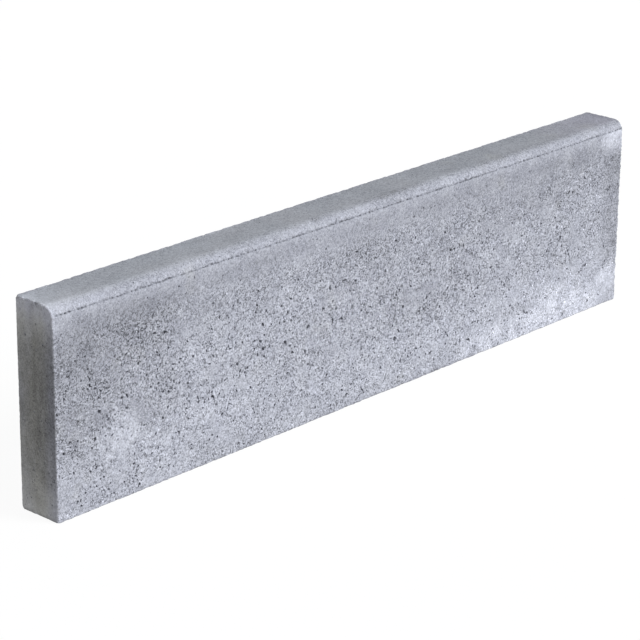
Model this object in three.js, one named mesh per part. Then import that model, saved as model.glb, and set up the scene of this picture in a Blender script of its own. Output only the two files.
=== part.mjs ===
// Concrete kerb stone: one cast unit, millimetres, +Z up.
// It stands on its long narrow base. X runs along its length, Y through its
// thickness and Z up its height. The face with the rounded upper edge looks
// along -Y. The origin is the middle of the underside.

import * as THREE from 'three';

// Overall size
const LENGTH = 1000;
const HEIGHT = 250;
const THICKNESS = 60;

// Rounded upper front edge, formed by the press head
const ROUNDING_RADIUS = 15;   // radius of the rounding, tangent to the top face
const PRESS_LINE_DROP = 10.2; // depth of the press line below the top face
const PRESS_LEDGE = 0.8;      // the front face stands this far proud of the rounding's foot
const ROUNDING_STEPS = 14;

// Small worn arrises on the other edges
const LONG_ARRIS = 1.5;       // chamfer along the length: both bottom edges and the back top edge
const END_ARRIS = 1.5;        // chamfer around both end faces

const CONCRETE = new THREE.MeshStandardMaterial({
  color: 0x9c9ea6,
  roughness: 0.93,
  metalness: 0,
});

// Section outline in the (thickness, height) plane, counter-clockwise
function sectionOutline() {
  const front = -THICKNESS / 2;
  const back = THICKNESS / 2;
  const shape = new THREE.Shape();

  // underside and back face
  shape.moveTo(front + LONG_ARRIS, 0);
  shape.lineTo(back - LONG_ARRIS, 0);
  shape.lineTo(back, LONG_ARRIS);
  shape.lineTo(back, HEIGHT - LONG_ARRIS);
  shape.lineTo(back - LONG_ARRIS, HEIGHT);

  // top face and the rounding, which ends at the press line without
  // becoming tangent to the front face
  const sweep = Math.acos(1 - PRESS_LINE_DROP / ROUNDING_RADIUS);
  const centreY = front + PRESS_LEDGE + ROUNDING_RADIUS * Math.sin(sweep);
  const centreZ = HEIGHT - ROUNDING_RADIUS;
  for (let i = 0; i <= ROUNDING_STEPS; i++) {
    const a = (sweep * i) / ROUNDING_STEPS;
    shape.lineTo(
      centreY - ROUNDING_RADIUS * Math.sin(a),
      centreZ + ROUNDING_RADIUS * Math.cos(a),
    );
  }

  // the small ledge left by the mould's lip, then the front face
  shape.lineTo(front, HEIGHT - PRESS_LINE_DROP - PRESS_LEDGE);
  shape.lineTo(front, LONG_ARRIS);
  shape.closePath();
  return shape;
}

function kerbStone() {
  const geometry = new THREE.ExtrudeGeometry(sectionOutline(), {
    steps: 1,
    depth: LENGTH - 2 * END_ARRIS,
    bevelEnabled: true,
    bevelThickness: END_ARRIS,
    bevelSize: END_ARRIS,
    bevelOffset: -END_ARRIS,
    bevelSegments: 1,
    curveSegments: 1,
  });

  // section plane to YZ, extrusion direction to X
  geometry.applyMatrix4(
    new THREE.Matrix4().makeBasis(
      new THREE.Vector3(0, 1, 0),
      new THREE.Vector3(0, 0, 1),
      new THREE.Vector3(1, 0, 0),
    ),
  );
  geometry.translate(-(LENGTH - 2 * END_ARRIS) / 2, 0, 0);

  const mesh = new THREE.Mesh(geometry, CONCRETE);
  mesh.name = 'kerb_stone';
  return mesh;
}

const group = new THREE.Group();
group.name = 'concrete_kerb_stone';
group.add(kerbStone());

export default group;
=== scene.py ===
"""Concrete kerb stone, 1000 x 250 x 60 mm, standing on its narrow base.

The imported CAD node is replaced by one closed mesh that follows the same
section: pressed rounding, broken press line, pores as real hollows, worn and
nicked arrises. Lengths in the mesh code are millimetres until the mesh is made.
"""

import math

import bpy
import numpy as np
from mathutils import Euler, Matrix, Vector
from mathutils.geometry import delaunay_2d_cdt


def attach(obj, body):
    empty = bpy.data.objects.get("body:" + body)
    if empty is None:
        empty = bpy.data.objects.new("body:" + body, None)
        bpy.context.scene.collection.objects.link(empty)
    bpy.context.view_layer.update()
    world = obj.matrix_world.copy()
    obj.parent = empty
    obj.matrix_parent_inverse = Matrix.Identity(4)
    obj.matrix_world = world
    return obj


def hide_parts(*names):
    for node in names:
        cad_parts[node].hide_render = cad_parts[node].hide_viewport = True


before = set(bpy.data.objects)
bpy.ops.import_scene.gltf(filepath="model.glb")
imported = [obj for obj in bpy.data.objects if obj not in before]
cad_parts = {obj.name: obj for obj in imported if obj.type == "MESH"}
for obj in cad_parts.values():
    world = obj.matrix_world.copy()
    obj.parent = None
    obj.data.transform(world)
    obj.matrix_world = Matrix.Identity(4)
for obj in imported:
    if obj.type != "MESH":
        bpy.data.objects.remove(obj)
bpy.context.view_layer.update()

LENGTH, HEIGHT, THICKNESS = 1000.0, 250.0, 60.0
FRONT, BACK = -THICKNESS / 2, THICKNESS / 2
ROUND_R = 15.0        # rounding of the upper front edge
LINE_DROP = 10.2      # foot of the rounding, below the top face
LEDGE = 0.8           # front face proud of the rounding's foot
ARRIS = 1.6           # long arrises
END_R = 1.5           # arrises round the end faces

rng = np.random.default_rng(20611)


# ---------------------------------------------------------------- noise
def lattice(ix, iy, seed):
    h = (ix * 374761393 + iy * 668265263 + seed * 974634777) & 0xFFFFFFFF
    h = ((h ^ (h >> 13)) * 1274126177) & 0xFFFFFFFF
    h = ((h ^ (h >> 15)) * 2246822519) & 0xFFFFFFFF
    return ((h ^ (h >> 16)) & 0xFFFFFF) / float(0xFFFFFF)


def vnoise(x, y, seed):
    """Smooth value noise, 0 to 1."""
    x, y = np.asarray(x, float), np.asarray(y, float)
    ix, iy = np.floor(x).astype(np.int64), np.floor(y).astype(np.int64)
    fx, fy = x - ix, y - iy
    fx, fy = fx * fx * (3 - 2 * fx), fy * fy * (3 - 2 * fy)
    a, b = lattice(ix, iy, seed), lattice(ix + 1, iy, seed)
    c, d = lattice(ix, iy + 1, seed), lattice(ix + 1, iy + 1, seed)
    return (a * (1 - fx) + b * fx) * (1 - fy) + (c * (1 - fx) + d * fx) * fy


def fbm(x, y, seed, octaves=4):
    total, amp, norm = 0.0, 1.0, 0.0
    for i in range(octaves):
        total = total + amp * vnoise(x * 2**i, y * 2**i, seed + 17 * i)
        norm += amp
        amp *= 0.5
    return total / norm


def smooth(a, b, x):
    t = np.clip((np.asarray(x, float) - a) / (b - a), 0, 1)
    return t * t * (3 - 2 * t)


# ---------------------------------------------------------------- section
def section():
    """The outline from the middle of the underside, round the front and the top, back to the underside: arc length, point and outward normal."""
    pts = [(0.0, 0.0), (FRONT + ARRIS, 0.0)]

    def arc(cy, cz, r, a0, a1, n):
        for i in range(n + 1):
            a = math.radians(a0 + (a1 - a0) * i / n)
            pts.append((cy + r * math.cos(a), cz + r * math.sin(a)))

    arc(FRONT + ARRIS, ARRIS, ARRIS, 270, 180, 12)
    # lip of the front face, then the ledge, then the rounding
    lip = 1.5
    z_lip = HEIGHT - LINE_DROP - LEDGE
    arc(FRONT + lip, z_lip - lip * math.tan(math.radians(22.5)), lip, 180, 135, 6)
    sweep = math.acos(1 - LINE_DROP / ROUND_R)
    cy = FRONT + LEDGE + ROUND_R * math.sin(sweep)
    cz = HEIGHT - ROUND_R
    arc(cy, cz, ROUND_R, 90 + math.degrees(sweep), 90, 60)
    arc(BACK - ARRIS, HEIGHT - ARRIS, ARRIS, 90, 0, 12)
    arc(BACK - ARRIS, ARRIS, ARRIS, 0, -90, 12)
    pts.append((0.0, 0.0))
    p = np.array(pts)
    # resample every quarter of a millimetre
    step = np.hypot(*np.diff(p, axis=0).T)
    keep = np.concatenate([[True], step > 1e-9])
    p = p[keep]
    s = np.concatenate([[0], np.cumsum(np.hypot(*np.diff(p, axis=0).T))])
    n = int(round(s[-1] / 0.25))
    t = np.linspace(0, s[-1], n + 1)
    y, z = np.interp(t, s, p[:, 0]), np.interp(t, s, p[:, 1])
    dy, dz = np.gradient(y, t), np.gradient(z, t)
    # tangent (dy, dz); outward is tangent turned so that the front's is -Y
    ny, nz = -dz, dy
    k = np.array([1, 2, 3, 2, 1.0])
    k /= k.sum()
    ny = np.convolve(np.concatenate([ny[-3:-1], ny, ny[1:3]]), k, "valid")
    nz = np.convolve(np.concatenate([nz[-3:-1], nz, nz[1:3]]), k, "valid")
    ln = np.hypot(ny, nz)
    return t, y, z, ny / ln, nz / ln, sweep, cy


T, SY, SZ, SNY, SNZ, SWEEP, ROUND_Y = section()
P = float(T[-1])


def s_of(y=None, z=None, side=None):
    """Arc length of a point on a side: bottom_front, front, top, back, bottom_back."""
    if side == "front":
        m = (np.abs(SY - FRONT) < 1e-6)
        return float(np.interp(z, SZ[m], T[m]))
    if side == "back":
        m = (np.abs(SY - BACK) < 1e-6)
        zz, tt = SZ[m][::-1], T[m][::-1]
        return float(np.interp(z, zz, tt))
    if side == "top":
        m = (np.abs(SZ - HEIGHT) < 1e-6)
        return float(np.interp(y, SY[m], T[m]))
    if side == "bottom_front":
        return float(-y)
    return float(P - y)


arc90 = ARRIS * math.pi / 2
S_F0 = (THICKNESS / 2 - ARRIS)            # end of the underside, start of the arris
S_F1 = S_F0 + arc90                       # front face starts
S_F2 = s_of(z=HEIGHT - LINE_DROP - LEDGE - 0.8, side="front")  # front face ends
S_LINE = S_F2 + 1.35                      # the press line's groove


def waver(u):
    """The press line wanders a little along the stone."""
    return 0.9 * (fbm(np.asarray(u, float) / 38, 4.4, 161, 3) - 0.5) + 0.5 * (vnoise(np.asarray(u, float) / 6, 9.1, 163) - 0.5)


S_R0 = S_LINE + 0.9                       # rounding starts
S_T0 = s_of(y=ROUND_Y + 0.01, side="top")  # top face starts
S_T1 = s_of(y=BACK - ARRIS, side="top")   # top face ends
S_B0 = S_T1 + arc90                       # back face starts
S_B1 = S_B0 + HEIGHT - 2 * ARRIS          # back face ends
S_U0 = S_B1 + arc90                       # underside again

U_FLAT = LENGTH / 2 - END_R
U_END = U_FLAT + END_R * math.pi / 2      # where the end face starts


# ---------------------------------------------------------------- pores
def zone(s):
    """0 underside, 1 front, 2 rounding and top, 3 back"""
    return np.where(s < (S_F0 + S_F1) / 2, 0, np.where(s < S_LINE, 1, np.where(s < (S_T1 + S_B0) / 2, 2, np.where(s < (S_B1 + S_U0) / 2, 3, 0))))


def plain_patch(u, z):
    """1 where the front is closed and smooth, in patches a few centimetres wide."""
    return smooth(0.58, 0.70, fbm(u / 24, z / 17, 171, 3))


def calm(u, z):
    """1 in a few places of the front where hardly any pore shows."""
    out = np.zeros(np.broadcast(u, z).shape)
    for cu, cz, ru, rz, k in (
        (472, 28, 34, 26, 1.0),
        (482, 120, 28, 70, 0.6),
        (-40, 216, 64, 22, 1.0),
        (-462, 30, 24, 16, 0.5),
        (-470, 205, 34, 26, 1.0),
        (-480, 160, 26, 40, 0.5),
        (-445, 180, 62, 20, 0.9),
        (478, 212, 32, 30, 0.6),
        (-425, 60, 50, 16, 0.4),
        (270, 206, 110, 20, 1.0),
    ):
        d = ((u - cu) / ru) ** 2 + ((z - cz) / rz) ** 2 + 0.9 * (fbm(u / 22, z / 22, 177, 2) - 0.5)
        out = np.maximum(out, k * smooth(1.2, 0.4, d))
    return out


def coarse(u, z):
    """1 in a few places of the front where the pores crowd."""
    out = np.zeros(np.broadcast(u, z).shape)
    for cu, cz, ru, rz in (
        (-320, 150, 45, 20),
        (-200, 180, 50, 14),
        (-255, 14, 45, 12),
        (60, 108, 60, 18),
        (200, 95, 60, 16),
        (-25, 16, 40, 12),
    ):
        d = ((u - cu) / ru) ** 2 + ((z - cz) / rz) ** 2 + 0.8 * (fbm(u / 18, z / 18, 179, 2) - 0.5)
        out = np.maximum(out, smooth(1.3, 0.3, d))
    return out


def soft_patch(u, z):
    """1 in the closed, smoother patches low on the front, by both ends."""
    where = np.maximum(smooth(-240, -330, u) * smooth(150, 90, z), 0.8 * smooth(220, 300, u) * smooth(70, 44, z))
    return smooth(0.50, 0.62, fbm(u / 15 + 3, z / 12, 181, 3)) * where


def clumps(u, s):
    """1 in small knots of deeper pores."""
    z = s - S_F1 + ARRIS
    out = np.zeros(np.broadcast(u, z).shape)
    for cu, cz, ru, rz in (
        (-451, 53, 12, 8),
        (-452, 25, 16, 8),
        (-428, 12, 11, 8),
        (-390, 21, 15, 9),
        (-474, 79, 13, 10),
        (-425, 92, 11, 17),
        (-438, 142, 14, 8),
        (-340, 112, 24, 10),
        (-277, 83, 14, 10),
        (-467, 17, 12, 8),
        (-476, 172, 8, 14),
        (-450, 153, 9, 14),
        (94, 36, 18, 8),
        (110, 100, 14, 14),
        (194, 107, 18, 10),
        (199, 42, 12, 10),
        (243, 13, 10, 6),
        (260, 88, 16, 10),
        (284, 31, 26, 6),
        (348, 46, 15, 8),
        (401, 65, 14, 9),
        (438, 18, 9, 10),
    ):
        out = np.maximum(out, smooth(1.3, 0.4, ((u - cu) / ru) ** 2 + ((z - cz) / rz) ** 2))
    return out


def density(u, s):
    """How thickly the pores lie, 0 to 1. u along the stone, s round it."""
    z_front = s - S_F1                      # height above the arris on the front
    patch = fbm(u / 70, s / 70, 5, 3)
    front = (
        smooth(216, 130, z_front + 10 * (fbm(u / 45, 0.5, 9, 2) - 0.5))
        * (0.72 + 0.28 * smooth(4, 30, z_front))
        * (0.92 + 0.75 * coarse(u, z_front + ARRIS))
        * (1 - 0.75 * calm(u, z_front + ARRIS))
        * (0.62 + 0.66 * smooth(0.34, 0.62, patch))
        * (0.50 + 1.0 * smooth(0.40, 0.64, fbm(u / 16, s / 13, 7, 2)))
        * (1 - 0.75 * plain_patch(u, z_front + ARRIS))
        * (1 - 0.55 * soft_patch(u, z_front + ARRIS))
    )
    z_back = S_B1 - s
    back = (
        smooth(243 - 14, 243 - 50, z_back + 14 * (fbm(u / 45, 7.5, 29, 2) - 0.5))
        * (0.5 + 0.5 * smooth(4, 30, z_back))
        * (0.55 + 0.8 * smooth(0.34, 0.62, fbm(u / 80, s / 80, 25, 3)))
        * (0.45 + 1.1 * smooth(0.40, 0.64, fbm(u / 16, s / 13, 27, 2)))
    )
    top = np.full_like(front, 0.09)
    under = 0.5 + 0 * front
    zn = zone(s)
    d = np.select([zn == 0, zn == 1, zn == 2, zn == 3], [under, front, top, back])
    return np.clip(d, 0, 1)


class Scatter:
    """Pores that keep clear of each other, found through a coarse grid."""

    def __init__(self, cell=8.0):
        self.cell, self.grid, self.list = cell, {}, []

    def near(self, x, y):
        i, j = int(x // self.cell), int(y // self.cell)
        for a in (i - 1, i, i + 1):
            for b in (j - 1, j, j + 1):
                yield from self.grid.get((a, b), ())

    def add(self, x, y, r, gap):
        for ox, oy, orr in self.near(x, y):
            if (ox - x) ** 2 + (oy - y) ** 2 < (orr + r + gap) ** 2:
                return False
        self.grid.setdefault((int(x // self.cell), int(y // self.cell)), []).append((x, y, r))
        self.list.append((x, y, r))
        return True


def pore_shape(cx, cy, r, k, big, aspect=None, turn=None):
    """Rim, wall and floor points of one hollow: x, y and a share that sets both its depth and its painted shade."""
    ang = np.arange(k) / k * 2 * math.pi + rng.uniform(0, 6.3)
    ph = rng.uniform(0, 6.3, 3)
    wob = 1 + 0.2 * np.sin(2 * ang + ph[0]) + 0.2 * np.sin(3 * ang + ph[1]) + rng.uniform(-0.16, 0.16, k)
    a = rng.uniform(1.0, 2.0) if aspect is None else aspect
    th = rng.uniform(0, math.pi) if turn is None else turn
    ex, ey = math.sqrt(a), 1 / math.sqrt(a)
    c, sn = math.cos(th), math.sin(th)
    out = []
    rings = ((1.0, 0.0), (0.80, 0.62), (0.45, 0.96)) if big else ((1.0, 0.0), (0.66, 0.72))
    for share, depth in rings:
        px, py = share * r * wob * np.cos(ang) * ex, share * r * wob * np.sin(ang) * ey
        for qx, qy in zip(px * c - py * sn, px * sn + py * c):
            out.append((cx + qx, cy + qy, depth))
    out.append((cx, cy, 1.0))
    return out


# ---------------------------------------------------------------- the long surface
pores = Scatter()


def throw(count, u0, u1, s0, s1, med, sig, lo, hi, gap, dens=density):
    u = rng.uniform(u0, u1, count)
    s = rng.uniform(s0, s1, count)
    keep = rng.uniform(0, 1, count) < dens(u, s)
    r = np.clip(np.exp(rng.normal(math.log(med), sig, count)), lo, hi)
    order = np.argsort(-r[keep])
    for x, y, q in zip(u[keep][order], s[keep][order], r[keep][order]):
        pores.add(float(x), float(y), float(q), gap)


INSET = LENGTH / 2 - 6.5
INNER = INSET - 3.5
throw(100, -INNER, INNER, S_F1 + 7, S_F2 - 12, 2.15, 0.13, 1.85, 2.8, 1.2)
throw(44, -INNER, -INSET * 0.25, S_F1 + 7, S_F2 - 12, 2.2, 0.12, 1.85, 2.8, 1.2)
throw(5400, -INNER, INNER, S_F1 + 6, S_F1 + 186, 1.5, 0.18, 1.1, 2.1, 0.85, lambda u, s: 0.8 * clumps(u, s))
throw(760, -INNER, INNER, S_F1 + 6, S_F2 - 8, 1.55, 0.14, 1.35, 2.1, 1.1)
throw(100, -INNER, -INSET * 0.35, S_F1 + 6, S_F2 - 8, 1.6, 0.14, 1.35, 2.1, 1.1)
throw(3600, -INSET, INSET, S_F1 + 4, S_F2 - 7, 0.95, 0.2, 0.7, 1.35, 0.8, lambda u, s: density(u, s) * (1 - 0.30 * smooth(-120, -40, u) * smooth(105, 135, s - S_F1) - 0.18 * smooth(200, 300, u) * smooth(135, 105, s - S_F1)))
throw(110, -INSET, INSET, S_F2 - 36, S_F2 - 7, 1.0, 0.25, 0.7, 1.5, 1.5, lambda u, s: 0.15 + 0.5 * (fbm(u / 30, s / 30, 19, 2) > 0.52))
throw(300, -INNER, INNER, S_B0 + 9, S_B1 - 9, 1.65, 0.24, 1.35, 3.0, 0.9)
throw(1500, -INSET, INSET, S_B0 + 6, S_B1 - 5, 1.05, 0.22, 0.8, 1.45, 0.35)
throw(600, -INSET, INSET, S_R0 + 3, S_T1 - 3, 0.85, 0.25, 0.6, 1.5, 0.35)
throw(240, -INNER, INNER, 7, S_F0 - 6, 1.2, 0.35, 0.8, 2.4, 0.5)
throw(240, -INNER, INNER, S_U0 + 6, P - 7, 1.2, 0.35, 0.8, 2.4, 0.5)

# each vertex also carries how dark it is painted: painted shade inside the hollows
pu, ps, pd, pshade = [], [], [], []        # vertex u, s, depth, darkness


def put(u, s, d=0.0, dark=0.0):
    pu.append(u)
    ps.append(s)
    pd.append(d)
    pshade.append(dark)


for x, y, r in pores.list:
    big = r > 1.5
    k = 8 if r > 2.2 else (7 if big else 6)
    depth = min(2.6, r * rng.uniform(0.6, 1.2))
    # each hollow is painted dark inside: painted shade, weaker on the back, stronger towards the left end, in the knots
    # and in the big ones
    shade_k = rng.uniform(0.55, 1.05) if r < 1.35 else rng.uniform(0.75, 1.05)
    if S_B0 < y < S_B1:
        shade_k *= 0.85
    elif r >= 1.3 and (x < -250 or clumps(x, y) > 0.3):
        shade_k *= 1.2
    elif r >= 1.85:
        shade_k *= 1.1
    for qx, qy, share in pore_shape(x, y, r, k, big):
        put(qx, qy, share * depth, share * shade_k)
n_pore_points = len(pu)


def clear(u, s, margin=1.35):
    for ox, oy, r in pores.near(u, s):
        if (ox - u) ** 2 + (oy - s) ** 2 < (r * margin + 0.3) ** 2:
            return False
    return True


def row(s, du, jitter_u=0.3, jitter_s=0.0, lim=INSET + 0.8, bend=None):
    n = int(2 * lim / du)
    for i in range(n + 1):
        u = -lim + 2 * lim * i / n
        uu = u + (rng.uniform(-1, 1) * jitter_u * du if 0 < i < n else 0)
        sv = s + rng.uniform(-1, 1) * jitter_s
        if bend is not None:
            sv += float(bend(uu))
        if clear(uu, sv):
            put(uu, sv)


# rows that follow the arrises, the press line and the rounding
for s0, s1 in ((S_F0, S_F1), (S_T1, S_B0), (S_B1, S_U0)):
    for t in (0.0, 0.33, 0.67, 1.0):
        row(s0 + (s1 - s0) * t, 2.6)
    for off, du in ((1.3, 2.8), (3.2, 3.4)):
        row(s0 - off, du, 0.3, 0.25)
        row(s1 + off, du, 0.3, 0.25)
for off, du in ((-3.2, 3.2), (-2.0, 2.4), (-1.15, 1.8), (-0.55, 1.4), (0.0, 1.4), (0.55, 1.4), (1.15, 1.8), (2.0, 2.6)):
    row(S_LINE + off, du, 0.3, bend=waver)
for i in range(8):
    row(S_LINE + 3.6 + (S_T0 + 1.5 - S_LINE - 3.6) * i / 7, 5.0, 0.3, 0.3)


def field(s0, s1, pitch, lim=INSET - 1.5):
    nu, ns = int(2 * lim / pitch), max(2, int((s1 - s0) / pitch))
    for j in range(ns + 1):
        for i in range(nu + 1):
            u = -lim + 2 * lim * (i + 0.5 * (j % 2)) / (nu + 0.5) + rng.uniform(-0.25, 0.25) * pitch
            s = s0 + (s1 - s0) * j / ns + rng.uniform(-0.2, 0.2) * pitch
            if clear(u, s):
                put(u, s)


field(S_F1 + 8, S_F2 - 9, 7.5)
field(S_B0 + 8, S_B1 - 8, 8.5)
field(S_T0 + 6, S_T1 - 8, 6.5)
field(7, S_F0 - 8, 9)
field(S_U0 + 8, P - 7, 9)

# the seam runs along the middle of the underside, where s wraps round
n_seam = 100
seam_u = [-(INSET + 0.8) + 2 * (INSET + 0.8) * i / n_seam for i in range(n_seam + 1)]
for u in seam_u:
    put(u, 0.0)
    put(u, P)


# columns near the end faces, with the same s values in each
def column_values():
    fine = [0.0, P]
    for s0, s1 in ((S_F0, S_F1), (S_T1, S_B0), (S_B1, S_U0)):
        fine += [s0 - 2.2, s0, s0 + (s1 - s0) / 3, s0 + 2 * (s1 - s0) / 3, s1, s1 + 2.2]
    fine += [S_LINE + o for o in (-3.0, -1.5, -0.7, 0.0, 0.7, 1.5, 3.2)]
    fine += [S_LINE + 3.2 + (S_T0 - S_LINE - 3.2) * t for t in (0.17, 0.34, 0.5, 0.67, 0.84, 1.0)]
    fine = sorted(fine)
    out = [fine[0]]
    for a, b in zip(fine[:-1], fine[1:]):
        n = max(1, int(round((b - a) / (1.25 if S_F0 - 1 < a < S_B0 else 2.5))))
        out += [a + (b - a) * (i + 1) / n for i in range(n)]
    return out


COL_S = column_values()
COL_U = [LENGTH / 2 - 4.6, LENGTH / 2 - 3.0] + [U_FLAT + END_R * math.pi / 8 * i for i in range(5)]
for sign in (-1, 1):
    for j, uc in enumerate(COL_U):
        last = j == len(COL_U) - 1
        for s in COL_S:
            put(sign * uc, s)

pu, ps = np.array(pu), np.array(ps)
pd, pshade = np.array(pd), np.array(pshade)

verts2, _, tris, orig, _, _ = delaunay_2d_cdt([Vector((a, b)) for a, b in zip(pu, ps)], [], [], 0, 1e-6)
src = np.array([o[0] for o in orig])
tri = src[np.array([tuple(t) for t in tris])]


# ---------------------------------------------------------------- shape in space
def at_s(s):
    s = np.clip(s, 0, P)
    y, z = np.interp(s, T, SY), np.interp(s, T, SZ)
    ny, nz = np.interp(s, T, SNY), np.interp(s, T, SNZ)
    ln = np.hypot(ny, nz)
    return y, z, ny / ln, nz / ln


def place(u, s, d):
    """Position and outward normal of surface points, d below the surface."""
    y, z, ny, nz = at_s(s)
    over = np.clip(np.abs(u) - U_FLAT, 0, END_R * math.pi / 2) / END_R
    inward = END_R * (1 - np.cos(over))
    x = np.sign(u) * (np.minimum(np.abs(u), U_FLAT) + END_R * np.sin(over))
    y, z = y - ny * inward, z - nz * inward
    n = np.stack([np.sign(u) * np.sin(over), ny * np.cos(over), nz * np.cos(over)], 1)
    pos = np.stack([x, y, z], 1)
    return pos - n * d[:, None], n


# slow waviness of the pressed and cast faces, always inwards; the base stays flat
zn = zone(ps)
wave = 0.35 * fbm(pu / 130, ps / 130, 41, 3) + 0.12 * fbm(pu / 14, ps / 14, 43, 2)
grow = smooth(0, 14, np.minimum.reduce([np.abs(ps - S_F1), np.abs(ps - S_LINE), np.abs(ps - S_T1), np.abs(ps - S_B0), np.abs(ps - S_B1)]))
ends = smooth(LENGTH / 2 - 2, LENGTH / 2 - 20, np.abs(pu))
wave = wave * (0.35 + 0.65 * grow) * (0.4 + 0.6 * ends)
wave[zn == 0] = 0
under = (ps < S_F0 + 0.01) | (ps > S_U0 - 0.01)
disp = pd + np.where(under, 0, wave)

# the press line: a broken groove with a small raised burr under it
v = ps - S_LINE - waver(pu)
pit_u, at_u = [], -LENGTH / 2 + 2
while at_u < LENGTH / 2 - 2:
    pit_u.append(at_u)
    at_u += rng.uniform(2.8, 7.6)
pit_u = np.array(pit_u)
pit_w = rng.uniform(1.0, 2.1, len(pit_u))
pit_h = rng.uniform(0.7, 1.1, len(pit_u))
pit_v = rng.uniform(-0.5, 0.5, len(pit_u))
pit_k = np.clip(rng.normal(0.90, 0.34, len(pit_u)), 0.25, 1.6) * (0.88 + 0.24 * vnoise(pit_u / 55, 8.8, 63)) * (1 + 0.3 * smooth(400, 470, pit_u))
pit = np.zeros_like(pu)
by_line = np.where(np.abs(v) < 4)[0]
for a, w, h_, o, k in zip(pit_u, pit_w, pit_h, pit_v, pit_k):
    m = by_line[np.abs(pu[by_line] - a) < 8]
    pit[m] = np.maximum(pit[m], k * np.exp(-(((pu[m] - a) / w) ** 2) - (((v[m] - o) / h_) ** 2)))
fade = np.where(pu > 0, smooth(LENGTH / 2 - 0.6, LENGTH / 2 - 4, pu), smooth(LENGTH / 2 - 1.5, LENGTH / 2 - 7, -pu))
groove = np.exp(-((v / 0.6) ** 2)) * 0.34 + 1.15 * pit
burr = np.exp(-(((v + 1.25) / 0.6) ** 2)) * 0.30 * fbm(pu / 6, 1.1, 67, 2)
ragged = np.exp(-((v / 2.2) ** 2)) * 0.35 * (fbm(pu / 3.2, ps / 2.2, 71, 2) - 0.35)
disp = disp + fade * (groove - 0.5 * burr + np.maximum(ragged, 0))
# the groove and its pits are painted dark: painted shade in the crease
line_shade = np.clip(np.exp(-((v / 0.95) ** 2)) * 0.36 + 0.90 * pit, 0, 1.15) * (0.3 + 0.7 * fade)

# fine nibbling along the arrises
to_edge = np.minimum.reduce([np.abs(ps - (S_F0 + S_F1) / 2), np.abs(ps - (S_T1 + S_B0) / 2), np.abs(ps - (S_B1 + S_U0) / 2)])
to_end = np.abs(np.abs(pu) - (U_FLAT + END_R * 0.6))
nib_long = smooth(2.6, 0.4, to_edge) * 0.9 * np.maximum(fbm(pu / 4.2, ps / 9, 111, 3) - 0.42, 0)
nib_end = smooth(2.4, 0.3, to_end) * np.where((ps > S_F1) & (ps < S_T0), 1.5, np.where((ps >= S_T0) & (ps < S_B0), 1.25, 0.35)) * np.maximum(fbm(ps / 2.6, pu / 30, 113, 3) - 0.42, 0)
disp = disp + np.minimum(nib_long * 2.2, 0.9) + np.minimum(nib_end * 2.4, 0.8)

pos, nrm = place(pu, ps, disp)
n_long = len(pu)

# ---------------------------------------------------------------- end faces
def end_face(sign):
    """Boundary of one end face, from the last column: vertex indices and their (y, z) points."""
    idx = []
    for s in COL_S[:-1]:
        i = np.where((np.abs(pu - sign * U_END) < 1e-6) & (np.abs(ps - s) < 1e-6))[0][0]
        idx.append(int(i))
    loop = [(float(pos0[i, 1]), float(pos0[i, 2])) for i in idx]
    return idx, loop


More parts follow.
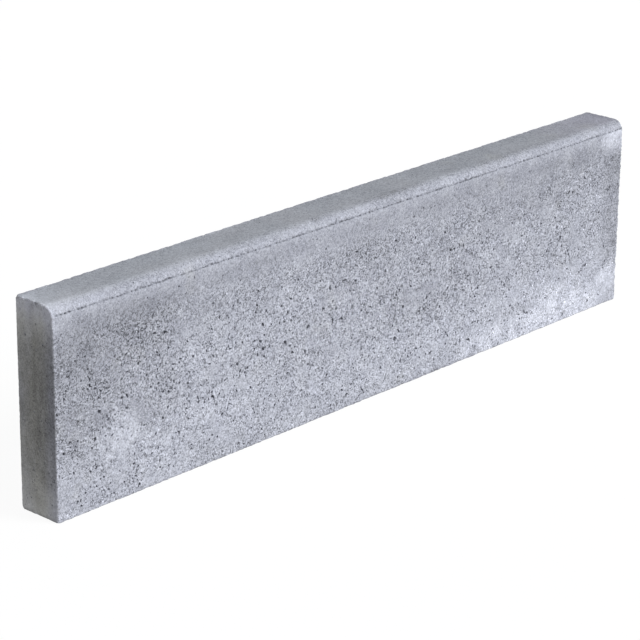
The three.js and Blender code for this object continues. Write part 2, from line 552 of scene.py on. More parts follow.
pos0, _ = place(pu, ps, np.zeros_like(pu))
all_pos, all_tri, all_uv_key = [pos], [], []
extra_shade = []
caps = []
soft_rng = np.random.default_rng(58)
offset = n_long
for sign in (-1, 1):
    idx, loop = end_face(sign)
    yy, zz = np.array(loop).T
    local = Scatter(6.0)
    n_try = 200
    cu, cv = rng.uniform(BACK - 57, BACK - 3, n_try), rng.uniform(3, 247, n_try)
    cr = np.clip(np.exp(rng.normal(math.log(0.9), 0.35, n_try)), 0.6, 2.2)
    near_n = 46
    cu = np.concatenate([cu, rng.uniform(FRONT + 3.6, FRONT + 9, near_n)])
    cv = np.concatenate([cv, rng.uniform(10, 236, near_n)])
    cr = np.concatenate([cr, rng.uniform(0.6, 1.1, near_n)])

    def inside(y, z, m):
        if not (FRONT + END_R + m < y < BACK - END_R - m and END_R + m < z < HEIGHT - END_R - m):
            return False
        if z > HEIGHT - ROUND_R and y < ROUND_Y:
            return (y - ROUND_Y) ** 2 + (z - HEIGHT + ROUND_R) ** 2 < (ROUND_R - END_R - m) ** 2
        return True

    dens_end = fbm(cu / 30 + 40 * sign, cv / 30, 83, 3)
    for a in np.argsort(-cr):
        if dens_end[a] < 0.5 or not inside(cu[a], cv[a], cr[a] * 1.4 + 1.2):
            continue
        local.add(float(cu[a]), float(cv[a]), float(cr[a]), 0.6)
    py_, pz_, pdep, pshade_end = [], [], [], []
    for x, y, r in local.list:
        big = r > 1.45
        depth = min(2.0, r * rng.uniform(0.5, 1.0)) * (0.7 if sign < 0 else 1.0)
        # each hollow of the end faces is painted dark inside: painted shade, fainter on the left end
        shade_k = rng.uniform(0.12, 0.5) if sign < 0 else rng.uniform(0.3, 0.8)
        # those of the left end are drawn out upwards
        stretch = (soft_rng.uniform(1.3, 2.2), math.pi / 2 + soft_rng.uniform(-0.4, 0.4)) if sign < 0 else (None, None)
        for qx, qy, share in pore_shape(x, y, r, 8 if big else 6, big, *stretch):
            py_.append(qx)
            pz_.append(qy)
            pdep.append(share * depth)
            pshade_end.append(share * shade_k)
        if sign < 0:
            rng.uniform(size=2)

    def free(y, z):
        for ox, oy, r in local.near(y, z):
            if (ox - y) ** 2 + (oy - z) ** 2 < (r * 1.35 + 0.3) ** 2:
                return False
        return True

    pitch = 5.0
    for j in range(int(HEIGHT / pitch) + 1):
        for i in range(int(THICKNESS / pitch) + 1):
            y = FRONT + (i + 0.5 * (j % 2)) * pitch + rng.uniform(-0.2, 0.2) * pitch
            z = j * pitch + rng.uniform(-0.2, 0.2) * pitch
            if inside(y, z, 2.7) and free(y, z):
                py_.append(y)
                pz_.append(z)
                pdep.append(0)
                pshade_end.append(0)
    # a ring of points just inside the arris
    cyl = np.array(loop)
    mid = (cyl + np.roll(cyl, -1, 0)) / 2
    edge = np.roll(cyl, -1, 0) - cyl
    nin = np.stack([edge[:, 1], -edge[:, 0]], 1)
    nin /= np.linalg.norm(nin, axis=1)[:, None] + 1e-12
    if ((mid + nin * 0.5 - [0, HEIGHT / 2]) ** 2).sum() > ((mid - nin * 0.5 - [0, HEIGHT / 2]) ** 2).sum():
        nin = -nin
    for q in mid + nin * 1.3:
        if free(*q):
            py_.append(float(q[0]))
            pz_.append(float(q[1]))
            pdep.append(0)
            pshade_end.append(0)
    pts = [Vector(q) for q in loop] + [Vector((a, b)) for a, b in zip(py_, pz_)]
    nb = len(loop)
    _, _, ft, fo, _, _ = delaunay_2d_cdt(pts, [], [list(range(nb))], 1, 1e-7)
    fsrc = [o[0] for o in fo]
    ids = np.array(idx + [offset + i for i in range(len(py_))])
    t = ids[np.array([[fsrc[a] for a in f] for f in ft])]
    ey, ez = np.array(py_), np.array(pz_)
    wave_e = 0.25 * fbm(ey / 60, ez / 60, 91 + sign, 3) * smooth(0, 8, np.minimum.reduce([ey - FRONT, BACK - ey, ez, HEIGHT - ez]))
    xe = sign * (LENGTH / 2 - np.array(pdep) - wave_e)
    all_pos.append(np.stack([xe, ey, ez], 1))
    extra_shade.append(np.array(pshade_end))
    caps.append((sign, t, ids))
    offset += len(py_)

V = np.concatenate(all_pos)
# painted shade of the hollows and of the press line, one value a vertex
PORE_SHADE = np.concatenate([pshade] + extra_shade)
LINE_SHADE = np.concatenate([line_shade] + [np.zeros(len(a)) for a in extra_shade])

# orient the triangles outwards
def face_normals(v, t):
    return np.cross(v[t[:, 1]] - v[t[:, 0]], v[t[:, 2]] - v[t[:, 0]])


flip2 = ((pu[tri[:, 1]] - pu[tri[:, 0]]) * (ps[tri[:, 2]] - ps[tri[:, 0]]) - (ps[tri[:, 1]] - ps[tri[:, 0]]) * (pu[tri[:, 2]] - pu[tri[:, 0]])) < 0
tri[flip2] = tri[flip2][:, ::-1]
cap_tris = []
for sign, t, ids in caps:
    a, b, c = V[t[:, 0]][:, 1:], V[t[:, 1]][:, 1:], V[t[:, 2]][:, 1:]
    area = (b[:, 0] - a[:, 0]) * (c[:, 1] - a[:, 1]) - (b[:, 1] - a[:, 1]) * (c[:, 0] - a[:, 0])
    wrong = area * sign < 0
    t = t.copy()
    t[wrong] = t[wrong][:, ::-1]
    cap_tris.append(t)

# ---------------------------------------------------------------- UV map, before the seam is joined
cap_uv = []
for (sign, _, ids), t in zip(caps, cap_tris):
    y, z = V[t][:, :, 1], V[t][:, :, 2]
    u0 = 0.015 if sign < 0 else 0.51
    cap_uv.append(np.stack([u0 + z / HEIGHT * 0.475, 0.885 + (y - FRONT) / THICKNESS * 0.10], 2))
long_uv = np.stack([0.01 + (pu[tri] + U_END) / (2 * U_END) * 0.98, 0.01 + ps[tri] / P * 0.86], 2)
UV = np.concatenate([long_uv] + cap_uv)
F = np.concatenate([tri] + cap_tris)

# join the seam: each point at s = P is the one at s = 0 with the same u
join = np.arange(len(V))
low = {round(float(pu[i]), 5): i for i in np.where(ps < 1e-9)[0]}
for i in np.where(ps > P - 1e-9)[0]:
    join[i] = low[round(float(pu[i]), 5)]
F = join[F]


# ---------------------------------------------------------------- chips on the arrises
def carve(p, centre, away, radius, depth):
    """Takes a shallow shell-shaped flake off: a ball of this radius, whose middle is off the stone along away, cuts depth into it at centre."""
    o = centre + away * (radius - depth)
    rel = p - o
    near = (rel**2).sum(1) < radius**2
    if not near.any():
        return
    q = rel[near]
    along = q @ away
    perp = (q**2).sum(1) - along**2
    target = -np.sqrt(np.maximum(radius**2 - perp, 0))
    p[near] += (target - along)[:, None] * away


def edge_chips(count, start, end, out, depth, radius):
    for _ in range(count):
        t = rng.uniform(0.01, 0.99)
        c = np.array(start) * (1 - t) + np.array(end) * t
        a = np.array(out, float) + rng.normal(0, 0.25, 3)
        a /= np.linalg.norm(a)
        d = rng.uniform(*depth)
        carve(V, c, a, rng.uniform(*radius), d)
    return


X1, Z1 = LENGTH / 2, HEIGHT
V_before = V.copy()
edge_chips(30, (-X1, FRONT, 0), (X1, FRONT, 0), (0, -1, -1), (0.7, 1.25), (3, 7))
edge_chips(30, (-X1, BACK, 0), (X1, BACK, 0), (0, 1, -1), (0.8, 2.0), (4, 10))
edge_chips(16, (-X1, BACK, Z1), (X1, BACK, Z1), (0, 1, 1), (0.7, 1.3), (4, 10))
for sx in (-1, 1):
    edge_chips(13, (sx * X1, FRONT, 0), (sx * X1, FRONT, Z1 - 12), (sx, -1, 0), (0.7, 1.5), (2.5, 6))
    edge_chips(4, (sx * X1, BACK, 0), (sx * X1, BACK, Z1), (sx, 1, 0), (0.7, 1.0), (2.5, 5))
    edge_chips(2, (sx * X1, FRONT, 0), (sx * X1, BACK, 0), (sx, 0, -1), (0.7, 1.0), (2.5, 5))
    edge_chips(22, (sx * X1, ROUND_Y - 6, Z1), (sx * X1, BACK, Z1), (sx, 0, 1), (0.7, 1.5), (1.5, 3.8))
    edge_chips(18, (sx * X1, FRONT, 20), (sx * X1, FRONT, Z1 - 12), (sx, -1, 0), (0.6, 1.1), (1.5, 3))
    for t in (20, 48, 70):
        q = math.radians(t)
        out = np.array([sx, -math.cos(q), math.sin(q)]) / math.sqrt(2)
        carve(V, np.array([sx * X1, ROUND_Y - ROUND_R * math.cos(q), Z1 - ROUND_R + ROUND_R * math.sin(q)]), out, rng.uniform(2.2, 3.4), rng.uniform(0.7, 1.1))
    carve(V, np.array([sx * X1, BACK, Z1]), np.array([sx, 1, 1]) / math.sqrt(3), 9.0, 2.8)
    carve(V, np.array([sx * X1, BACK, 0.0]), np.array([sx, 1, -1]) / math.sqrt(3), 9.0, 2.6)
    carve(V, np.array([sx * X1, FRONT, 0.0]), np.array([sx, -1, -1]) / math.sqrt(3), 9.0, 1.7)
# a nick where the press line meets the right end, painted dark inside: painted shade
nick = np.array([X1 - 1.8, FRONT + 0.3, Z1 - LINE_DROP - 0.4])
carve(V, nick, np.array([0.45, -0.893, 0.0]), 2.8, 1.3)
LINE_SHADE = np.maximum(LINE_SHADE, 1.2 * np.exp(-(((V - nick) ** 2).sum(1) / 2.5**2)))
# notches along the foot of the front, painted dark inside: painted shade
for xn in (-262.0, -38.0, 66.0, 143.0, 213.0, 244.0, 302.0, 323.0):
    at = np.array([xn, FRONT + 0.3, 1.2])
    carve(V, at, np.array([0.0, -0.8, -0.6]), 3.0, 1.2)
    LINE_SHADE = np.maximum(LINE_SHADE, 0.8 * np.exp(-(((V - at) / (2.4, 1.6, 1.6)) ** 2).sum(1)))
V[:, 1] = np.maximum(V[:, 1], FRONT)
V[:, 2] = np.maximum(V[:, 2], 0.0)
WEAR = np.clip(np.linalg.norm(V - V_before, axis=1) / 1.0, 0, 1)

# ---------------------------------------------------------------- broad zones of the surface
def broad_zones(v):
    """Slow masks, one value a vertex: how smooth, end face, top face, lime bloom, tone and hue; the tone also carries
    painted shade and painted highlights.
    """
    x, y, z = v.T
    off_end = LENGTH / 2 - np.abs(x)
    # how far inside the front face and the rounding
    off_front = np.where((z > HEIGHT - ROUND_R) & (y < ROUND_Y), ROUND_R - np.hypot(y - ROUND_Y, z - HEIGHT + ROUND_R), y - FRONT)
    end = smooth(1.2, 0.2, off_end) * smooth(0.9, 1.7, off_front)
    on_front = smooth(FRONT + 6, FRONT + 2, y) * (1 - end) * smooth(HEIGHT - 9.0, HEIGHT - 10.2, z)
    on_back = smooth(BACK - 6, BACK - 2, y) * (1 - end)
    top = (1 - end) * smooth(HEIGHT - 9.6, HEIGHT - 3.0, z) * (1 - on_back) * smooth(FRONT + 3, FRONT + 14, y)
    roll = (1 - end) * smooth(HEIGHT - 10.0, HEIGHT - 8.8, z) * smooth(FRONT + 20, FRONT + 10, y)
    wob = 16 * (fbm(x / 60, 2.0, 101, 3) - 0.5)
    band = on_front * smooth(HEIGHT - 64 + wob, HEIGHT - 28 + wob, z)
    plain = on_front * plain_patch(x, z)
    sm = np.clip(np.maximum.reduce([end, top, roll * 0.78, band * 0.94, plain * 0.65, on_front * 0.75 * calm(x, z), on_front * 0.42 * soft_patch(x, z), on_front * 0.14 * smooth(120, 160, z), on_back * smooth(HEIGHT - 34, HEIGHT - 16, z) * 0.8]), 0, 1)

    def blob(cx, cz, rx, rz, seed, edge=0.5):
        d = ((x - cx) / rx) ** 2 + ((z - cz) / rz) ** 2
        d = d + edge * 2 * (fbm(x / 28 + seed, z / 28, 200 + seed, 4) - 0.5)
        return smooth(1.15, 0.25, d)

    lime = np.zeros_like(x)
    for cx, cz, rx, rz, amt, seed in (
        (368, 12, 112, 44, 1.0, 1),
        (262, 6, 110, 30, 0.75, 2),
        (476, 40, 28, 20, 0.9, 3),
        (-412, 76, 38, 30, 0.62, 4),
        (-372, 40, 60, 26, 0.35, 5),
        (488, 230, 36, 17, 1.0, 6),
        (60, 8, 120, 14, 0.10, 7),
        (-160, 6, 120, 14, 0.14, 8),
    ):
        lime = np.maximum(lime, amt * blob(cx, cz, rx, rz, seed))
    lime *= on_front
    lime_b = 0.0
    for cx, cz, rx, rz, amt, seed in ((-300, 20, 170, 34, 0.6, 11), (180, 60, 60, 40, 0.4, 12), (420, 12, 90, 22, 0.5, 13)):
        lime_b = np.maximum(lime_b, amt * blob(cx, cz, rx, rz, seed))
    lime = lime + lime_b * on_back
    # tone: a painted highlight on the lip under the press line, a plain belt below it, paler again towards the foot
    h = z + 7 * (fbm(x / 40, z / 60, 121, 3) - 0.5)
    left = smooth(-285, -345, x)
    corner = smooth(-420, -450, x)
    tone = on_front * (
        0.14 * smooth(HEIGHT - 15.5, HEIGHT - 12.5, z)
        + 0.05 * smooth(HEIGHT - 31, HEIGHT - 22, h)
        - 0.17 * smooth(HEIGHT - 40 + wob, HEIGHT - 20 + wob, z)
        - 0.12 * smooth(HEIGHT - 20, HEIGHT - 34, h) * smooth(HEIGHT - 110, HEIGHT - 55, h)
        + 0.08 * smooth(88, 60, h)
        # darker towards the left end and in a band up the right edge
        - 0.13 * left * smooth(240, 215, h) * smooth(0, 30, h) + 0.06 * corner * smooth(62, 50, h) * smooth(15, 25, h)
        - 0.06 * corner * smooth(225, 190, h) * smooth(55, 80, h)
        - 0.20 * smooth(455, 480, x) * smooth(42, 62, h) * smooth(218, 196, h)
        # pale upper corners
        + 0.12 * smooth(-466, -484, x) * smooth(198, 222, z)
        + 0.12 * smooth(450, 475, x) * smooth(200, 225, h)
        # stains: a dull cloud in the middle, dull patches under the press line by both ends
        - 0.09 * blob(100, 125, 90, 55, 21)
        - 0.06 * blob(-380, 205, 60, 18, 22)
        - 0.10 * blob(415, 210, 50, 16, 23)
        # pale clouds over the foot, which is plainer between them
        + 0.08 * blob(330, 65, 85, 20, 27)
        + 0.06 * blob(-250, 72, 85, 22, 28)
        - 0.10 * smooth(30, 12, z) * smooth(-320, -260, x) * smooth(300, 200, x)
    )
    beads = smooth(0.32, 0.62, fbm((x + z) / 3.4, (y + z) / 3.4, 141, 2))
    # the rounding is painted paler, most at its left corner: a painted highlight
    tone += roll * (0.04 + 0.10 * smooth(-470, -490, x))
    tone += on_back * (
        0.10 * smooth(70, 20, h)
        + 0.08 * smooth(HEIGHT - 30, HEIGHT - 10, h)
        + 0.30 * (fbm(x / 110 + 9, z / 75, 133, 3) - 0.5)
        - 0.10 * blob(-210, 150, 130, 46, 32)
        - 0.09 * blob(330, 120, 70, 60, 33)
        + 0.08 * blob(90, 190, 150, 26, 34)
        - 0.12 * smooth(455, 485, np.abs(x)) * smooth(30, 70, h)
    )
    # the rounding: one dark smudge, a pale stretch to the right of it
    smudge = np.exp(-(((x - 50) / 35) ** 2))
    dull = 0.09 - 0.10 * smooth(-170, -300, x) + 0.08 * smooth(180, 250, x) * smooth(400, 340, x) + 0.10 * smudge
    tone -= (1 - end) * dull * smooth(FRONT + 18, FRONT + 13, y) * smooth(FRONT + 5, FRONT + 9, y) * smooth(HEIGHT - 9, HEIGHT - 7, z)
    tone += roll * (0.08 * smooth(-395, -440, x) - 0.12 * smudge + 0.08 * np.exp(-(((x - 150) / 40) ** 2)))
    # the top face is painted paler along the left end's arris, in beads: a painted highlight
    tone += top * (0.18 * smooth(-488, -497, x) + 0.16 * smooth(-496.4, -498.0, x)) * (0.3 + 0.7 * beads)
    tone -= top * 0.09 * smooth(486, 496, x)
    # pale crumbs along the left end's top arris: painted highlight on chip faces
    lit_crumbs = smooth(0.42, 0.56, fbm(y / 3.4, z / 3.4 + 5, 145, 2)) * smooth(3.4, 1.6, np.hypot(HEIGHT - z, off_end)) * smooth(29, 26, y)
    tone += top * (0.03 + 0.20 * smooth(-420, -495, x) + 0.04 * smooth(-150, -300, x) - 0.03 * smooth(100, 250, x))
    # the end faces: the left one is painted darker than the right one, most in its middle, as painted shade; it is
    # paler towards its foot, as painted bounce light, towards its back edge, as painted light, and towards its top;
    # dark dashes and a mark under its top arris are painted shadows in nicks, and dark bands at the feet of both ends
    # are painted contact shade; the right end has a weaker copy of the gradient
    he = z + 9 * (fbm(y / 14 + 3, z / 30, 123, 3) - 0.5)
    seen = smooth(0, -1, x)
    tone_l = (
        -0.366
        + 0.07 * smooth(165, 195, he)
        + 0.22 * smooth(192, 216, he)
        + 0.38 * smooth(210, 244, he)
        + 0.08 * smooth(85, 62, he)
        + 0.30 * smooth(60, 30, he)
        + 0.21 * smooth(34, 2, he)
        + 0.13 * smooth(4, 28, y)
        - 0.05 * smooth(-18, -27, y) * smooth(238, 205, he)
        - 0.10 * smooth(236, 242, he) * smooth(-2, 6, y) * smooth(27, 20, y)
        - 0.24 * smooth(238.5, 243, z + 3.0 * (fbm(y / 3.4, 2.2, 128, 2) - 0.5)) * smooth(0.46, 0.60, fbm(y / 3.1, z / 3.1, 129, 2)) * smooth(-24, -15, y) * smooth(14, 5, y)
        - 0.30 * np.exp(-(((0.54 * (y - 12.5) + 0.84 * (z - 240.5)) / 3.6) ** 2) - (((0.84 * (y - 12.5) - 0.54 * (z - 240.5)) / 1.1) ** 2))
        - 0.05 * smooth(8, -4, y) * smooth(-20, -8, y) * smooth(230, 200, he)
        + 0.11 * smooth(242.5, 245.5, z)
        - 0.05 * smooth(235, 239, z) * smooth(245, 242.5, z)
        - 0.42 * smooth(243.5, 247.5, z + 2.5 * (fbm(y / 3.1, 7.7, 125, 2) - 0.5)) * smooth(0.44, 0.60, fbm(y / 2.6, 3.3, 127, 2))
        - 0.50 * smooth(4.0, 1.5, z)
    )
    tone_r = -0.20 + 0.12 * smooth(170, 245, he) + 0.14 * smooth(70, 10, he) + 0.08 * smooth(4, 28, y) - 0.30 * smooth(4.0, 1.5, z)
    tone += end * (seen * tone_l + (1 - seen) * tone_r)
    # the end faces are a little bluer by the front and the top, yellower in the middle
    hue = end * (
        0.9 * smooth(-8, -27, y)
        + 0.9 * smooth(218, 247, z)
        - 0.45 * np.exp(-(((y - 3) / 9) ** 2)) * smooth(225, 200, z)
        + 0.9 * (fbm(y / 6, z / 70, 131, 3) - 0.5)
    )
    # the outermost arrises are paler: partly wear, partly a painted highlight, strongest on the end side of the front
    # arrises and on the left end
    wear_and_highlight = np.maximum.reduce([
        smooth(3.0, 1.6, off_end) * smooth(2.7, 1.5, off_front) * (1 + 1.1 * smooth(0.9, 0.2, off_end)),
        0.35 * smooth(2.2, 0.6, np.hypot(off_end, y - BACK)),
        0.5 * smooth(2.2, 0.6, np.hypot(HEIGHT - z, y - BACK)),
        1.0 * smooth(2.2, 0.8, np.hypot(HEIGHT - z, off_end)),
    ])
    # a painted contact shade along the foot of the front, broken up
    tone -= on_front * 0.13 * smooth(3.2, 1.2, z) * (0.55 + 0.45 * smooth(0.25, 0.55, fbm(x / 9.0, y / 9.0, 143, 2)))
    tone += (0.24 + 0.35 * smooth(185, 232, z) * (0.3 + 0.7 * seen)) * wear_and_highlight * (0.25 + 0.75 * beads)
    tone += seen * 0.75 * lit_crumbs
    hue = hue + top * smooth(330, 480, x)
    return sm, end, np.clip(top, 0, 1), np.clip(lime, 0, 1), tone, np.clip(hue, -1, 1)


SMOOTH, ENDZ, TOPZ, LIME, TONE, HUE = broad_zones(V)

# ---------------------------------------------------------------- Blender mesh
used = np.unique(F)
remap = -np.ones(len(V), int)
remap[used] = np.arange(len(used))
F = remap[F]
V, PORE_SHADE, LINE_SHADE, WEAR = V[used], PORE_SHADE[used], LINE_SHADE[used], WEAR[used]
SMOOTH, ENDZ, TOPZ, LIME, TONE, HUE = SMOOTH[used], ENDZ[used], TOPZ[used], LIME[used], TONE[used], HUE[used]

mesh = bpy.data.meshes.new("kerb_stone_surface")
mesh.vertices.add(len(V))
mesh.vertices.foreach_set("co", (V / 1000.0).astype(np.float32).ravel())
mesh.loops.add(len(F) * 3)
mesh.loops.foreach_set("vertex_index", F.astype(np.int32).ravel())
mesh.polygons.add(len(F))
mesh.polygons.foreach_set("loop_start", (np.arange(len(F)) * 3).astype(np.int32))
mesh.polygons.foreach_set("loop_total", np.full(len(F), 3, np.int32))
mesh.polygons.foreach_set("use_smooth", np.ones(len(F), bool))
mesh.update(calc_edges=True)
uvl = mesh.uv_layers.new(name="OFBake")
uvl.data.foreach_set("uv", UV.astype(np.float32).ravel())
for name, values in (
    ("pore", PORE_SHADE),
    ("press_line", LINE_SHADE),
    ("wear", WEAR),
    ("smooth_zone", SMOOTH),
    ("end_zone", ENDZ),
    ("top_zone", TOPZ),
    ("lime", LIME),
    ("tone", TONE),
    ("hue", HUE),
):
    at = mesh.attributes.new(name, "FLOAT", "POINT")
    at.data.foreach_set("value", values.astype(np.float32))
mesh.validate(verbose=False)
mesh.set_sharp_from_angle(angle=math.radians(38))
stone = bpy.data.objects.new("kerb_stone_surface", mesh)
bpy.context.scene.collection.objects.link(stone)
print("triangles", len(mesh.polygons), "vertices", len(mesh.vertices), "pores", len(pores.list))

# ---------------------------------------------------------------- concrete
def build_concrete():
    mat = bpy.data.materials.new("dry_pressed_concrete")
    mat.use_nodes = True
    nt = mat.node_tree
    nt.nodes.clear()
    N, L = nt.nodes.new, nt.links.new

    def math_(op, a, b=None, c=None, clamp=False):
        n = N("ShaderNodeMath")
        n.operation, n.use_clamp = op, clamp
        for i, v in enumerate((a, b, c)):
            if v is None:
                continue
            if isinstance(v, (int, float)):
                n.inputs[i].default_value = v
            else:
                L(v, n.inputs[i])
        return n.outputs[0]

    def ramp01(v, lo, hi, to_lo=0.0, to_hi=1.0, smoothstep=True):
        n = N("ShaderNodeMapRange")
        n.interpolation_type = "SMOOTHSTEP" if smoothstep else "LINEAR"
        n.clamp = True
        L(v, n.inputs["Value"])
        n.inputs["From Min"].default_value = lo
        n.inputs["From Max"].default_value = hi
        n.inputs["To Min"].default_value = to_lo
        n.inputs["To Max"].default_value = to_hi
        return n.outputs["Result"]

    def noise(vec, scale, detail=3.0, rough=0.55, dist=0.0):
        n = N("ShaderNodeTexNoise")
        n.noise_dimensions = "3D"
        L(vec, n.inputs["Vector"])
        n.inputs["Scale"].default_value = scale
        n.inputs["Detail"].default_value = detail
        n.inputs["Roughness"].default_value = rough
        n.inputs["Distortion"].default_value = dist
        return n

    def voronoi(vec, scale, feature="F1"):
        n = N("ShaderNodeTexVoronoi")
        n.voronoi_dimensions, n.feature = "3D", feature
        L(vec, n.inputs["Vector"])
        n.inputs["Scale"].default_value = scale
        n.inputs["Randomness"].default_value = 1.0
        return n

    def attr(name):
        n = N("ShaderNodeAttribute")
        n.attribute_name = name
        return n.outputs["Fac"]

    def mix(fac, a, b, blend="MIX"):
        n = N("ShaderNodeMix")
        n.data_type, n.blend_type = "RGBA", blend
        n.clamp_factor = True
        if isinstance(fac, (int, float)):
            n.inputs[0].default_value = fac
        else:
            L(fac, n.inputs[0])
        for sock, v in ((n.inputs[6], a), (n.inputs[7], b)):
            if isinstance(v, tuple):
                sock.default_value = (*v, 1.0)
            else:
                L(v, sock)
        return n.outputs[2]

    def scaled(col, fac):
        """Colour times a grey factor that varies over the surface."""
        n = N("ShaderNodeVectorMath")
        n.operation = "SCALE"
        L(col, n.inputs[0])
        if isinstance(fac, (int, float)):
            n.inputs["Scale"].default_value = fac
        else:
            L(fac, n.inputs["Scale"])
        return n.outputs[0]

    tc = N("ShaderNodeTexCoord").outputs["Object"]
    a_pore_shade, a_line_shade, a_wear = attr("pore"), attr("press_line"), attr("wear")
    a_smooth, a_end, a_lime, a_tone, a_top = attr("smooth_zone"), attr("end_zone"), attr("lime"), attr("tone"), attr("top_zone")
    a_hue = attr("hue")

    # warp so that grains and pores aren't round
    wn = noise(tc, 300, 2, 0.6)
    wv = N("ShaderNodeVectorMath")
    wv.operation = "MULTIPLY_ADD"
    L(wn.outputs["Color"], wv.inputs[0])
    wv.inputs[1].default_value = (0.0022, 0.0022, 0.0022)
    L(tc, wv.inputs[2])
    upright = N("ShaderNodeMapping")
    L(wv.outputs[0], upright.inputs["Vector"])
    upright.inputs["Scale"].default_value = (1.08, 1.0, 0.90)
    warped = upright.outputs["Vector"]

    big = noise(tc, 7.5, 4, 0.55).outputs["Fac"]
    mid = noise(tc, 38, 5, 0.62).outputs["Fac"]
    small = noise(tc, 165, 4, 0.68).outputs["Fac"]
    fine = noise(tc, 390, 3, 0.72).outputs["Fac"]
    grain = voronoi(warped, 410)
    sep = N("ShaderNodeSeparateColor")
    L(grain.outputs["Color"], sep.inputs[0])
    grain_v = sep.outputs["Red"]
    sand = voronoi(warped, 760)
    sep3 = N("ShaderNodeSeparateColor")
    L(sand.outputs["Color"], sep3.inputs[0])
    sand_v = sep3.outputs["Red"]

    dots = voronoi(warped, 300)
    sep2 = N("ShaderNodeSeparateColor")
    L(dots.outputs["Color"], sep2.inputs[0])
    # radius of each tiny pore, zero in most cells
    rad = ramp01(sep2.outputs["Green"], 0.60, 1.0, 0.0, 0.50, False)
    dot = math_("SUBTRACT", rad, dots.outputs["Distance"])
    # a pale ring round each tiny pore: a painted highlight on its rim
    rim_highlight = math_("SUBTRACT", ramp01(dot, -0.20, -0.08), ramp01(dot, -0.06, 0.02))
    rim_highlight = math_("MULTIPLY", rim_highlight, ramp01(rad, 0.04, 0.20))
    dot = ramp01(dot, -0.03, 0.10)
    dot_mask = math_("SUBTRACT", 1.0, a_smooth, clamp=True)
    dot_here = ramp01(noise(tc, 60, 3, 0.6).outputs["Fac"], 0.40, 0.60, 0.12, 1.0)
    dot_mask = math_("MULTIPLY", ramp01(dot_mask, 0.0, 1.0, 0.06, 1.0, False), dot_here)
    dot = math_("MULTIPLY", dot, dot_mask)
    rim_highlight = math_("MULTIPLY", rim_highlight, dot_mask)
    # sparse pale grains of sand
    pale = math_("MULTIPLY", ramp01(sep2.outputs["Blue"], 0.82, 0.90), ramp01(dots.outputs["Distance"], 0.18, 0.40, 1.0, 0.0))
    along = N("ShaderNodeSeparateXYZ")
    L(tc, along.inputs[0])
    pale = math_("MULTIPLY", pale, ramp01(along.outputs["X"], 0.05, 0.35, 0.60, 0.92))

    rough_zone = ramp01(a_smooth, 0.0, 1.0, 1.04, 0.42, False)  # grain contrast
    rough_zone = math_("MULTIPLY", rough_zone, ramp01(a_end, 0.0, 1.0, 1.0, 0.72, False))

    # brightness: the grains vary more towards dark than towards pale
    g = math_("MULTIPLY", math_("SUBTRACT", small, 0.5), 0.24)
    g = math_("ADD", g, math_("MULTIPLY", math_("SUBTRACT", fine, 0.5), 0.50))
    g = math_("ADD", g, math_("MULTIPLY", math_("SUBTRACT", grain_v, 0.5), 0.38))
    g = math_("ADD", g, math_("MULTIPLY", math_("SUBTRACT", sand_v, 0.5), 1.14))
    g = math_("SUBTRACT", math_("MULTIPLY", g, 0.94), math_("MULTIPLY", math_("ABSOLUTE", g), 0.16))
    v = math_("MULTIPLY_ADD", math_("SUBTRACT", big, 0.5), 0.30, 0.988)
    v = math_("ADD", v, math_("MULTIPLY", math_("SUBTRACT", mid, 0.5), 0.34))
    v = math_("ADD", v, math_("MULTIPLY", g, rough_zone))
    v = math_("ADD", v, math_("MULTIPLY", rim_highlight, 0.14))
    v = math_("ADD", v, math_("MULTIPLY", pale, rough_zone))
    v = math_("ADD", v, a_tone)
    # soft upright smudges on the end faces
    sm_map = N("ShaderNodeMapping")
    L(tc, sm_map.inputs["Vector"])
    sm_map.inputs["Scale"].default_value = (1.0, 1.0, 0.45)
    smudge = noise(sm_map.outputs["Vector"], 95, 4, 0.62).outputs["Fac"]
    v = math_("ADD", v, math_("MULTIPLY", math_("SUBTRACT", smudge, 0.5), math_("MULTIPLY", a_end, 0.75)))

    front_col = mix(ramp01(mid, 0.3, 0.7), (0.330, 0.340, 0.391), (0.350, 0.359, 0.404))
    top_col = mix(ramp01(big, 0.3, 0.7), (0.312, 0.327, 0.362), (0.330, 0.337, 0.366))
    top_col = mix(math_("MULTIPLY", a_hue, 0.9), top_col, (0.320, 0.319, 0.374))
    end_col = mix(ramp01(math_("ADD", a_hue, math_("MULTIPLY", math_("SUBTRACT", mid, 0.5), 0.8)), -1.0, 1.0, 0.0, 1.0, False), (0.311, 0.308, 0.278), (0.297, 0.303, 0.342))
    col = mix(a_top, front_col, top_col)
    col = mix(a_end, col, end_col)
    # faint iron-yellow clouds
    stain = ramp01(noise(tc, 22, 3, 0.5).outputs["Fac"], 0.62, 0.78, 0.0, 0.14)
    col = mix(stain, col, (0.400, 0.395, 0.345))
    col = scaled(col, v)

    # lime bloom, broken up by the grain
    lime_f = math_("MULTIPLY", a_lime, ramp01(math_("ADD", math_("MULTIPLY", small, 0.6), math_("MULTIPLY", mid, 0.6)), 0.42, 0.74, 0.15, 1.0))
    col = scaled(col, math_("MULTIPLY_ADD", lime_f, 0.46, 1.0))
    col = mix(math_("MULTIPLY", lime_f, 0.22), col, (0.62, 0.635, 0.69))
    # fresh broken arrises are a little paler
    col = mix(math_("MULTIPLY", a_wear, 0.35), col, (0.50, 0.505, 0.52))

    # hollows, painted dark: painted shade in the tiny pores, the pores of the mesh and the press line
    col = mix(math_("MULTIPLY", dot, 0.88), col, (0.065, 0.068, 0.081))
    col = mix(math_("MULTIPLY", ramp01(a_pore_shade, 0.05, 0.9), 0.87), col, (0.058, 0.061, 0.073))
    line_shade_f = math_("MULTIPLY", a_line_shade, ramp01(fine, 0.36, 0.62, 0.45, 1.25))
    col = mix(math_("MULTIPLY", line_shade_f, 0.80), col, (0.06, 0.063, 0.072))

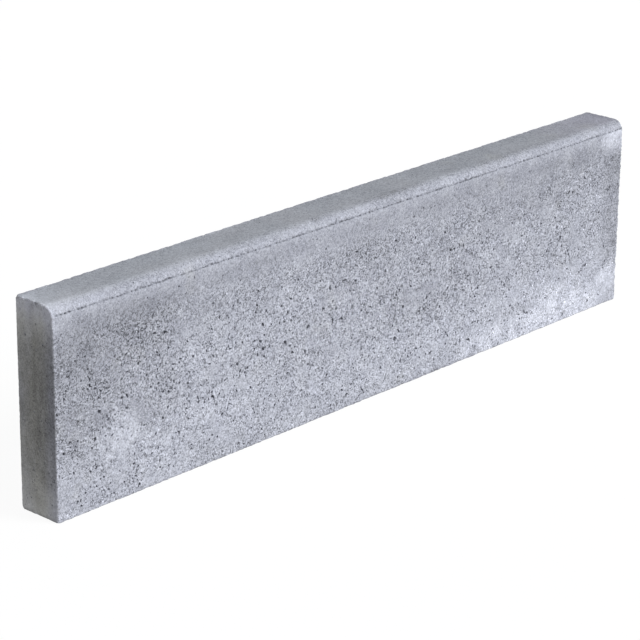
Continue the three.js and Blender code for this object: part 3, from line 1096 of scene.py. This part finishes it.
    bsdf = N("ShaderNodeBsdfPrincipled")
    out = N("ShaderNodeOutputMaterial")
    L(col, bsdf.inputs["Base Color"])
    rgh = ramp01(small, 0.25, 0.75, 0.84, 0.97)
    L(math_("SUBTRACT", rgh, math_("MULTIPLY", a_smooth, 0.07)), bsdf.inputs["Roughness"])
    bsdf.inputs["Specular IOR Level"].default_value = 0.32
    L(bsdf.outputs[0], out.inputs["Surface"])

    h = math_("MULTIPLY", fine, math_("MULTIPLY", rough_zone, 0.36))
    h = math_("ADD", h, math_("MULTIPLY", sand.outputs["Distance"], math_("MULTIPLY", rough_zone, -0.30)))
    h = math_("ADD", h, math_("MULTIPLY", grain.outputs["Distance"], math_("MULTIPLY", rough_zone, -0.32)))
    h = math_("ADD", h, math_("MULTIPLY", small, math_("MULTIPLY", rough_zone, 0.24)))
    h = math_("SUBTRACT", h, math_("MULTIPLY", dot, 1.2))
    bump = N("ShaderNodeBump")
    bump.inputs["Strength"].default_value = 1.0
    bump.inputs["Distance"].default_value = 0.0010
    L(h, bump.inputs["Height"])
    L(bump.outputs[0], bsdf.inputs["Normal"])
    return mat


stone.data.materials.append(build_concrete())
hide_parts("kerb_stone")
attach(stone, "root")

# ---------------------------------------------------------------- stage
scene = bpy.context.scene
scene.view_settings.view_transform = "Standard"
scene.view_settings.look = "None"
scene.view_settings.exposure = 0.0
scene.view_settings.gamma = 1.0

me = bpy.data.meshes.new("floor")
me.from_pydata([(-30, -30, 0), (30, -30, 0), (30, 30, 0), (-30, 30, 0)], [], [(0, 1, 2, 3)])
floor = bpy.data.objects.new("floor", me)
scene.collection.objects.link(floor)
fm = bpy.data.materials.new("pale_floor")
fm.use_nodes = True
fb = fm.node_tree.nodes["Principled BSDF"]
fb.inputs["Base Color"].default_value = (0.06, 0.06, 0.06, 1)
fb.inputs["Emission Color"].default_value = (1.0, 1.0, 1.0, 1)
fb.inputs["Emission Strength"].default_value = 0.94
fb.inputs["Roughness"].default_value = 0.9
fb.inputs["Specular IOR Level"].default_value = 0.1
me.materials.append(fm)

# soft sky, dimmer towards -X, pale where it is seen directly
world = bpy.data.worlds.new("studio")
scene.world = world
world.use_nodes = True
wt = world.node_tree
wt.nodes.clear()
wg = wt.nodes.new("ShaderNodeTexCoord")
ws = wt.nodes.new("ShaderNodeSeparateXYZ")
wt.links.new(wg.outputs["Generated"], ws.inputs[0])
wm = wt.nodes.new("ShaderNodeMapRange")
wm.inputs["From Min"].default_value = -0.9
wm.inputs["From Max"].default_value = 0.3
wm.inputs["To Min"].default_value = 0.12
wm.inputs["To Max"].default_value = 0.42
wt.links.new(ws.outputs["X"], wm.inputs["Value"])
wb = wt.nodes.new("ShaderNodeBackground")
wb.inputs["Color"].default_value = (0.96, 0.98, 1.0, 1)
wt.links.new(wm.outputs["Result"], wb.inputs["Strength"])
wc = wt.nodes.new("ShaderNodeBackground")
wc.inputs["Color"].default_value = (0.975, 0.975, 0.98, 1)
lp = wt.nodes.new("ShaderNodeLightPath")
wx = wt.nodes.new("ShaderNodeMixShader")
wt.links.new(lp.outputs["Is Camera Ray"], wx.inputs[0])
wt.links.new(wb.outputs[0], wx.inputs[1])
wt.links.new(wc.outputs[0], wx.inputs[2])
wo = wt.nodes.new("ShaderNodeOutputWorld")
wt.links.new(wx.outputs[0], wo.inputs["Surface"])


def sun(name, direction, strength, angle, color):
    lamp = bpy.data.lights.new(name, "SUN")
    lamp.energy, lamp.angle, lamp.color = strength, math.radians(angle), color
    ob = bpy.data.objects.new(name, lamp)
    ob.rotation_mode = "QUATERNION"
    ob.rotation_quaternion = Vector(direction).to_track_quat("Z", "Y")
    ob.location = Vector(direction) * 4
    scene.collection.objects.link(ob)


sun("key", (0.42, -0.78, 0.68), 3.3, 28, (0.97, 0.985, 1.0))

# ---------------------------------------------------------------- camera
cam_data = bpy.data.cameras.new("camera")
cam_data.sensor_width = 36.0
cam_data.lens = 146.6
cam_data.clip_start, cam_data.clip_end = 0.05, 100
cam = bpy.data.objects.new("camera", cam_data)
right = Vector((0.6801415, -0.7330154, 0.0097970))
up = Vector((0.2500539, 0.2445383, 0.9368426))
ahead = Vector((0.6891158, 0.6347358, -0.3496140))
m = Matrix((right, up, -ahead)).transposed().to_4x4()
m.translation = Vector((-2.1982144, -1.9762941, 1.1980043))
cam.matrix_world = m
scene.collection.objects.link(cam)
scene.camera = cam
